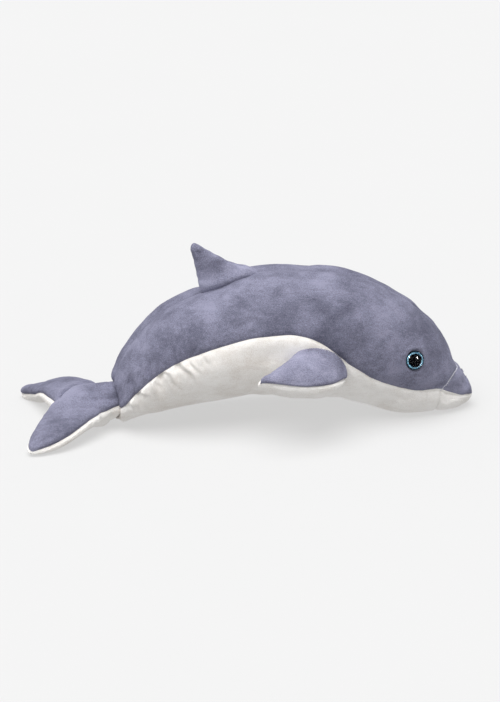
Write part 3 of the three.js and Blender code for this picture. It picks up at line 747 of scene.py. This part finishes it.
def finish_fin(grid, columns, seed, root=None):
    """Adds seams, puckers and lumps to a fin's surface. Returns it with its normals and the painted shade
    of its seam grooves. root is the middle of a gathered root and how far the gathers reach."""
    top, bottom = columns
    total = top + bottom
    centre = grid.mean(axis=1, keepdims=True)
    normals = outward_normals(grid, centre)
    steps = np.linalg.norm(np.roll(grid, -1, 1) - grid, axis=2)
    run = np.concatenate([np.zeros((len(grid), 1)), np.cumsum(steps, 1)[:, :-1]], 1)
    whole = steps.sum(1, keepdims=True)

    def to_column(k):
        d = np.abs(run - run[:, k % total][:, None])
        return np.minimum(d, whole - d)

    from_seam = np.minimum(to_column(0), to_column(top))
    size = np.clip(whole / 60, 0.15, 1)
    offset = -FIN_SEAM_DEPTH * bell(from_seam, 2.2) * size
    offset += 0.6 * bell(from_seam - 7, 5) * size
    middle = grid.mean(axis=1)
    row_run = np.concatenate([[0], np.cumsum(np.linalg.norm(np.diff(middle, axis=0), axis=1))])
    flow = np.stack([row_run[:, None] + 0 * run, from_seam * 0.2, 0 * run], -1)
    offset += 0.8 * grid_noise(flow, 8, seed) * bell(from_seam, 16) * size
    offset += (1.0 * grid_noise(grid, 38, seed + 1) + 0.4 * grid_noise(grid, 16, seed + 2)) * size
    offset += 0.18 * grid_noise(grid, 3.0, seed + 3)
    if root is not None:
        spot, reach = root
        away = (grid - spot) @ np.array([-1.0, 0, 0])
        across = grid * np.array([0.10, 1, 0.4])
        gathers = 5.5 * grid_noise(across, 9, seed + 4) - 0.8 * bell(away - 5, 3)
        offset += gathers * bell(away - 8, reach)
    surface = grid + normals * offset[..., None]
    # Painted shade that darkens the colour along the fin's seam grooves.
    groove_shade = np.clip(0.3 * bell(from_seam, 1.3) * size, 0, 1)
    return surface, outward_normals(surface, centre), groove_shade


def frame_of(name):
    j = joint(name)
    return np.array(j["pos_m"]) / MM, np.array(j["axis"], float)


def add_fin(body, names, grid, columns, seed, line, slots, replaced, held, root=None, grey=GREY):
    """Two panels of a fin; line, at its root, is handed to hold, which does not blend them along it. held
    says which rows are sewn to the torso and stay in place."""
    grid = grid + stuffed(grid, held, (0, columns[0]), pressure=3.5, shrink=0.05, cap=0.7)
    surface, normals, groove_shade = finish_fin(grid, columns, seed, root=root)
    if body == "flukes":
        surface[..., 2] = np.maximum(surface[..., 2], FLOOR_GAP)
    top, bottom = columns
    rows = (0, len(grid) - 1)
    for name, span, slot, nodes in zip(names, ((0, top), (top, top + bottom)), slots, replaced):
        # grey is the grey plush, or its lighter copy with painted light for the upward-facing fins.
        material = grey if slot == "grey_plush" else WHITE
        o = panel(name, surface, normals, rows, span, material, groove_shade)
        hold(o, body, line)
        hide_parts(*nodes)
    return surface, normals, columns, line


FLIPPER_DROOP = math.radians(34)
FLIPPER_TUCK, DORSAL_TUCK = 0.16, 0.14  # share of each fin's length that lies inside the torso


def build_flipper(name, side):
    origin, forward = frame_of(f"flipper_{name}_bend")
    outward = np.array([0, side * math.cos(FLIPPER_DROOP), -math.sin(FLIPPER_DROOP)])
    outward -= forward * (outward @ forward)
    outward /= np.linalg.norm(outward)
    up = np.cross(forward, outward) * side

    def place(x, y, h):
        return origin + x[..., None] * forward + y[..., None] * outward + h[..., None] * up

    row, inside, shut = fin_rows(84, FLIPPER_TUCK, 9)
    # (x, y) of the leading and trailing edges at each of these rows.
    edge = [0, 0.2, 0.4, 0.6, 0.8, 0.92, 1]
    lead = np.stack([spline(list(zip(edge, v)), row) for v in
                     ((37, 30, 17, -6, -38, -66, -82), (2, 21, 37.5, 49, 57, 60, 61))], -1)
    trail = np.stack([spline(list(zip(edge, v)), row) for v in
                      ((-48, -56, -66, -77, -89, -94, -96.5), (3, 14, 26, 38, 48, 52, 54))], -1)
    lead[:, 1] += 14 * inside
    trail[:, 1] += 14 * inside
    middle = (lead + trail) / 2
    lead = middle + (lead - middle) * shut[:, None]
    trail = middle + (trail - middle) * shut[:, None]
    height = 24 * (1 - 0.5 * row) * shut**0.7
    columns = (74, 80)
    # The front seam swings onto the upper side halfway along, so a white rim shows.
    front = spline([(0, 64), (0.3, 55), (0.5, 50), (0.7, 50), (0.88, 54), (1, 62)], row)
    seams = (np.radians(front), math.radians(92))
    grid = fin_surface(place, lead, trail, height, seams, columns, belly=1.3)
    # The root is sewn to the torso along an oval of ribs and angles.
    top, bottom = columns
    turn = np.concatenate([np.linspace(-math.pi / 2, math.pi / 2, top, endpoint=False),
                           np.linspace(math.pi / 2, 1.5 * math.pi, bottom, endpoint=False)])
    ring_rib = 7.22 + 0.64 * np.sin(turn) + 0.06 * np.cos(turn)
    ring_lean = np.where(turn < math.pi / 2, 6, 8)
    ring_angle = np.radians(109.5 + ring_lean * np.sin(turn) - 21.5 * np.cos(turn))
    step = 1e-3
    ring = torso_point(ring_rib, ring_angle)
    ring_out = np.cross(torso_point(ring_rib, ring_angle + step) - ring,
                        torso_point(ring_rib + step, ring_angle) - ring)
    ring_out /= np.linalg.norm(ring_out, axis=1, keepdims=True)
    mirror = np.array([1, -side, 1])
    ring, ring_out = ring * mirror, ring_out * mirror
    rise = 9 * inside + 12 * row
    sewn = ring[None] + ring_out[None] * rise[:, None, None]
    free = smoothstep(0.0, 0.42, row)[:, None, None]
    grid = sewn * (1 - free) + grid * free
    line = (origin + outward * 2.0, origin + outward * 26)
    return add_fin(f"flipper_{name}", (f"flipper_{name}_upper", f"flipper_{name}_lower"), grid, columns,
                   20 + side, line, ("grey_plush", "white_plush"),
                   ([f"flipper_{name}_upper_panel"], [f"flipper_{name}_lower_panel"]), lambda r: r < 16,
                   grey=PAINTED_LIGHT_GREY)


def build_dorsal():
    origin, forward = frame_of("dorsal_fin_bend")
    up = np.array([-forward[2], 0, forward[0]])

    def place(x, y, h):
        right = np.array([0, -1.0, 0])
        return origin + x[..., None] * forward + y[..., None] * up + h[..., None] * right

    row, inside, shut = fin_rows(64, DORSAL_TUCK, 14)
    y = 1 + 56.5 * row + 10 * inside
    lead_x = spline([(-12, 46), (0, 34), (5, 28), (12, 18.5), (23, 7), (40, -8.5), (52, -18.5),
                     (60, -23)], y)
    trail_x = spline([(-12, -38), (0, -37), (30, -34.5), (52, -33), (60, -32)], y)
    middle = (lead_x + trail_x) / 2 + 1.5 * row**8
    lead = np.stack([middle + (lead_x - middle) * shut, y], -1)
    trail = np.stack([middle + (trail_x - middle) * shut, y], -1)
    height = 11.5 * (1 - 0.5 * row) * shut**0.7 + 5 * bell(y + 2, 8)
    columns = (56, 56)
    seams = (math.radians(90), math.radians(90))
    grid = fin_surface(place, lead, trail, height, seams, columns)
    line = (origin, origin + up * 20)
    return add_fin("dorsal_fin", ("dorsal_right", "dorsal_left"), grid, columns, 31, line,
                   ("grey_plush", "grey_plush"), (["dorsal_fin_panel_right"], ["dorsal_fin_panel_left"]),
                   lambda r: r < 12, grey=PAINTED_LIGHT_GREY)


FLUKE_HALF_SPAN, FLUKE_ROWS = 117.0, 190
FLUKE_YAW = math.radians(4.3)
FLUKE_ROOT = 24  # rows nearer the middle than this are sewn to the tail


def build_flukes():
    origin, _ = frame_of("fluke_bend")

    def place(x, y, h):
        turned_x = x * math.cos(FLUKE_YAW) + y * math.sin(FLUKE_YAW)
        turned_y = -x * math.sin(FLUKE_YAW) + y * math.cos(FLUKE_YAW)
        return origin + np.stack([turned_x, turned_y, h], -1)

    side = -np.cos(np.linspace(0, math.pi, FLUKE_ROWS))  # -1 at the right tip, 1 at the left one
    side = np.sign(side) * np.abs(side) ** 1.25
    out = np.abs(side)
    y = side * (111 + 4 * side)
    lead_x = spline([(0, 14), (14, 13), (22, 8), (27.5, -4), (35, -13), (50, -24), (70, -40), (90, -60),
                     (105, -80), (113, -95), (117, -104)], np.abs(y))
    trail_x = spline([(0, -78), (10, -81), (30, -90), (60, -102), (90, -114), (110, -123), (117, -124)],
                     np.abs(y))
    shut = np.sqrt(np.maximum(1 - out**12, 0))
    shut[[0, -1]] = 0
    tip_x = lead_x + (0.6 + 0.3 * (side > 0)) * (trail_x - lead_x)
    lead = np.stack([tip_x + (lead_x - tip_x) * shut, y], -1)
    trail = np.stack([tip_x + (trail_x - tip_x) * shut, y], -1)
    stalk = 13.0 * np.exp(-((out / 0.2) ** 2))
    height = (stalk + (15 - 6 * out**2.5) * (1 + 0.35 * smoothstep(50, 105, y))) * shut**0.7

    def bend(x, yy):
        """Height of the flukes' middle: drooping tips, a valley, a raised root, a twisted left wing."""
        o = np.abs(yy) / FLUKE_HALF_SPAN
        middle = -2 * np.clip(-x / 80, 0, 1) - 24 * o**2.2
        fold = np.interp(-x, [20, 38, 50, 69, 80], [38, 30, 18, -4, -7])
        valley = -9 * bell(yy - fold, 6) * smoothstep(-26, -46, x)
        root = 6 * bell(x - 8, 16) * bell(yy, 30)
        lift = 10 * smoothstep(5, 65, yy) - 7 * smoothstep(72, 110, yy)
        twist = -9 * bell(yy - 72, 30) * smoothstep(-50, -105, x)
        return middle + lift + twist + valley + root

    columns = (92, 92)
    seams = (np.radians(86 - 17 * smoothstep(15, 60, -y)), np.radians(80 + 20 * smoothstep(30, 90, y)))
    grid = fin_surface(place, lead, trail, height, seams, columns, bend=bend)
    line = (origin + np.array([2, 0, 0]), origin + np.array([-26, 0, 0]))
    return add_fin("flukes", ("fluke_upper", "fluke_lower"), grid, columns, 41, line,
                   ("grey_plush", "white_plush"), (["fluke_upper_panel"], ["fluke_lower_panel"]),
                   lambda r: abs(y[r]) < FLUKE_ROOT, root=(origin, 26))


# ---- Eyes ----
def lathe(name, profile, matrix, material):
    """A turned solid from (radius, height) pairs, closed on the axis or on itself."""
    profile = np.array(profile, float)
    turn = np.arange(LATHE_STEPS) * TAU / LATHE_STEPS
    ring = np.stack([profile[:, :1] * np.cos(turn), profile[:, :1] * np.sin(turn),
                     np.repeat(profile[:, 1:], LATHE_STEPS, 1)], -1)
    mesh = new_mesh(name, ring, loop_faces(len(profile), LATHE_STEPS, capped=False))
    mesh.transform(matrix)
    turn_outwards(mesh, merge_m=1e-7)
    return new_object(name, mesh, material)


def arc(r0, z0, r1, z1, steps):
    """A quarter-ellipse profile from (r0, z0) to (r1, z1)."""
    t = np.linspace(0, math.pi / 2, steps)
    return [(r1 + (r0 - r1) * math.cos(a), z0 + (z1 - z0) * math.sin(a)) for a in t]


def build_eye(name, sign):
    centre, out = eye_place(sign)
    facing = Vector(out + EYE_TURN).normalized()
    turn = Vector((0, 0, 1)).rotation_difference(facing).to_matrix().to_4x4()
    matrix = Matrix.Translation(Vector((centre + EYE_LIFT * out + EYE_SHIFT) * MM)) @ turn
    # Profiles as (radius, height) pairs.
    back = [(0, -12.5), (2.6, -12.5), (3, -12), (3, -1.0), (11.6, -0.9), (12.5, -0.2), (12.5, 2.2),
            (12.2, 2.7), (11.8, 2.75), (11.7, 2.0), (9.0, 2.0), (8.9, 2.2), (8.7, 3.2), (8.2, 3.4),
            (0, 3.4)]
    iris = [(9.1, 2.15), (11.5, 2.15), (11.6, 2.3), (11.5, 2.9), (9.2, 3.1), (9.1, 2.9), (9.1, 2.15)]
    dome = [(0, 3.55), (8.4, 3.55), (9.0, 3.3), (11.5, 3.0), (11.9, 2.9), (12.1, 2.85), (12.2, 3.0)]
    dome += arc(12.2, 3.1, 0, 6.4, 22)
    pieces = [("back", back, BLACK_PLASTIC, "black_plastic"), ("iris", iris, GLITTER, "glitter"),
              ("lens", dome, LENS, "clear_plastic")]
    for part, profile, material, slot in pieces:
        o = lathe(f"eye_{part}_{name}_look", profile, matrix, material)
        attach(o, "torso")
        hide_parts(f"eye_{part}_{name}")


# ---- Stitches ----
def stitches(points, normals, pitch, swing, depth):
    """A thread that zigzags across a seam: points and normals run along the seam, in mm."""
    points, normals = np.asarray(points), np.asarray(normals)
    steps = np.linalg.norm(np.diff(points, axis=0), axis=1)
    run = np.concatenate([[0], np.cumsum(steps)])
    count = max(int(run[-1] / pitch * 6), 8)
    s = np.linspace(0, run[-1], count)
    p = np.stack([np.interp(s, run, points[:, k]) for k in range(3)], -1)
    n = np.stack([np.interp(s, run, normals[:, k]) for k in range(3)], -1)
    n /= np.linalg.norm(n, axis=1, keepdims=True)
    tangent = np.gradient(p, axis=0)
    tangent /= np.linalg.norm(tangent, axis=1, keepdims=True)
    side = np.cross(tangent, n)
    phase = s / pitch * TAU
    tri = 2 / math.pi * np.arcsin(np.sin(phase))
    return p + side * (swing * tri)[:, None] + n * (0.5 * np.abs(tri) - depth)[:, None]


def sew(name, path, material, body="torso", radius=THREAD_RADIUS, line=None):
    """A thread that stands for the CAD's thread of that name."""
    o = tube_mesh(f"{name}_look", path, radius, material)
    hold(o, body, line)
    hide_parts(name)


# ---- Build ----
def sew_torso(surface, normals):
    """Threads in the torso's seams, just under the pile. Only the closing and beak stitches show."""
    def line(name, column, rows, swing=0.0, depth=2.2, pitch=4.0):
        r = np.arange(*rows)
        path = stitches(surface[r, column], normals[r, column], pitch, swing, depth)
        sew(name, path, GREY_THREAD)

    left = BACK_COLUMNS + BELLY_COLUMNS

    def row_at(rib):
        return int(round(np.interp(length_at(rib), [0, length_at(BEAK_RIB)], [0, BODY_ROWS])))

    first, last = 4, BODY_ROWS - 3
    line("back_seam_thread", 0, (first, last))
    line("side_seam_thread_right", BACK_COLUMNS, (first, last))
    line("side_seam_thread_left_rear", left, (first, row_at(4.4)))
    line("closing_stitch_thread", left, (row_at(4.5), row_at(6)), swing=1.6, depth=-0.1, pitch=7.0)
    line("side_seam_thread_left_front", left, (row_at(6.1), last))
    ring = np.arange(TOTAL_COLUMNS - 2)
    sunk = np.where((ring > BACK_COLUMNS + 2) & (ring < left - 2), 1.6, 0.0)[:, None]
    seam_line = surface[BODY_ROWS, ring] - normals[BODY_ROWS, ring] * sunk
    path = stitches(seam_line, normals[BODY_ROWS, ring], 3.0, 1.3, -0.1)
    sew("beak_seam_thread", path, GREY_THREAD, radius=BEAK_THREAD_RADIUS)


def sew_fin(name, surface, normals, columns, rows, body, line, material):
    """The thread round a fin's edge, under the pile."""
    r = np.arange(*rows)
    lead, trail = surface[r, columns[0]], surface[r, 0]
    lead_n, trail_n = normals[r, columns[0]], normals[r, 0]
    points = np.concatenate([trail, lead[::-1]])
    outward = np.concatenate([trail_n, lead_n[::-1]])
    keep = np.concatenate([[True], np.linalg.norm(np.diff(points, axis=0), axis=1) > 0.05])
    path = points[keep] - outward[keep] * FIN_THREAD_DEPTH
    sew(name, path, material, body=body, line=line)


torso, torso_normals = build_torso()
sew_torso(torso, torso_normals)
filling("torso_filling", torso[16:-10:2], 0.86, "torso")

surface, normals, columns, line = build_dorsal()
sew_fin("dorsal_fin_edge_thread", surface, normals, columns, (8, 60), "dorsal_fin", line, GREY_THREAD)
filling("dorsal_fin_filling", surface[4:50:2], 0.5, "dorsal_fin", line)

surface, normals, columns, line = build_flukes()
sew_fin("fluke_edge_thread", surface, normals, columns, (4, 186), "flukes", line, WHITE_THREAD)
filling("fluke_filling", surface[24:-24:2], 0.55, "flukes", line)

for side_name, side_sign in SIDES.items():
    flipper = f"flipper_{side_name}"
    surface, normals, columns, line = build_flipper(side_name, side_sign)
    sew_fin(f"{flipper}_edge_thread", surface, normals, columns, (8, 80), flipper, line, WHITE_THREAD)
    filling(f"{flipper}_filling", surface[4:66:2], 0.62, flipper, line)
    ring = stitches(surface[13], normals[13], pitch=5.0, swing=0.8, depth=0.6)
    sew(f"{flipper}_seam_thread", ring, WHITE_THREAD)
    build_eye(side_name, side_sign)

# The washers inside the torso are the CAD's own meshes.
for node_name, o in frame["nodes"].items():
    if "washer" in node_name:
        o.data.materials.clear()
        o.data.materials.append(WASHER)

# ---- Floor, light and camera ----
FLOOR_HALF_M, FLOOR_GREY, FLOOR_GLOW = 30, 0.30, 0.455
WORLD_LIGHT = 0.58
SUN_TOWARDS, SUN_POWER, SUN_SPREAD = (-0.20, -0.26, 1.0), 3.15, 60
LENS_SLOPE = 0.27  # how far the eye's dome turns away from its middle, per radius
CATCH_LIGHT_AWAY_M = 2.6
AZIMUTH, ELEVATION, CAMERA_AWAY_M = math.radians(-9), math.radians(20), 3.5
CAMERA_AIM_M = Vector((-0.0012, -0.0006, 0.0932))
CAMERA_LENS, CAMERA_SENSOR = 135.9, 36

corners = [(x * FLOOR_HALF_M, y * FLOOR_HALF_M, 0) for x, y in ((-1, -1), (1, -1), (1, 1), (-1, 1))]
floor_mesh = bpy.data.meshes.new("floor")
floor_mesh.from_pydata(corners, [], [(0, 1, 2, 3)])
floor = bpy.data.objects.new("floor", floor_mesh)
bpy.context.scene.collection.objects.link(floor)
floor.visible_diffuse = False
paper = plain("floor_paper", (FLOOR_GREY,) * 3, 0.9, size=3, vary=0.004, Specular_IOR_Level=0,
              Emission_Color=(1, 1, 1, 1), Emission_Strength=FLOOR_GLOW)
floor_mesh.materials.append(paper)


def sun_light(name, towards, power, spread):
    light = bpy.data.lights.new(name, "SUN")
    light.energy, light.angle = power, math.radians(spread)
    o = bpy.data.objects.new(name, light)
    o.visible_glossy = False
    o.rotation_euler = Vector(towards).to_track_quat("Z", "Y").to_euler()
    bpy.context.scene.collection.objects.link(o)


def softbox(name, location, target, size, power):
    light = bpy.data.lights.new(name, "AREA")
    light.shape, light.size, light.energy = "SQUARE", size, power
    o = bpy.data.objects.new(name, light)
    o.visible_diffuse = False
    o.location = location
    o.rotation_euler = (Vector(target) - Vector(location)).to_track_quat("-Z", "Y").to_euler()
    bpy.context.scene.collection.objects.link(o)


world = bpy.data.worlds.new("studio")
bpy.context.scene.world = world
world.use_nodes = True
background = world.node_tree.nodes["Background"]
background.inputs["Color"].default_value = (1, 1, 1, 1)
background.inputs["Strength"].default_value = WORLD_LIGHT
sun_light("top", SUN_TOWARDS, SUN_POWER, SUN_SPREAD)

to_camera = Vector((math.sin(AZIMUTH) * math.cos(ELEVATION), -math.cos(AZIMUTH) * math.cos(ELEVATION),
                    math.sin(ELEVATION)))
camera_right = Vector((math.cos(AZIMUTH), math.sin(AZIMUTH), 0))
camera_up = to_camera.cross(camera_right)


def catch_light(name, right, up, size, power):
    """A softbox whose reflection in the right eye lies right and up of its middle, in eye radii."""
    centre, out = eye_place(SIDES["right"])
    slope = LENS_SLOPE / math.sqrt(1 - math.hypot(right, up) ** 2)
    tilt = Vector(out + EYE_TURN) + slope * (right * camera_right + up * camera_up)
    tilt.normalize()
    towards = 2 * tilt * tilt.dot(to_camera) - to_camera
    centre = Vector(centre) * MM
    softbox(name, centre + towards * CATCH_LIGHT_AWAY_M, centre, size, power)


catch_light("catch_rim", right=-0.64, up=0.44, size=0.46, power=300)
catch_light("catch_pupil", right=0.26, up=0.30, size=0.34, power=80)

camera = bpy.data.objects.new("camera", bpy.data.cameras.new("camera"))
bpy.context.scene.collection.objects.link(camera)
camera.location = CAMERA_AIM_M + to_camera * CAMERA_AWAY_M
camera.rotation_euler = (-to_camera).to_track_quat("-Z", "Y").to_euler()
camera.data.lens = CAMERA_LENS
camera.data.sensor_width = CAMERA_SENSOR
camera.data.clip_end = 100
bpy.context.scene.camera = camera
bpy.context.scene.view_settings.view_transform = "Standard"
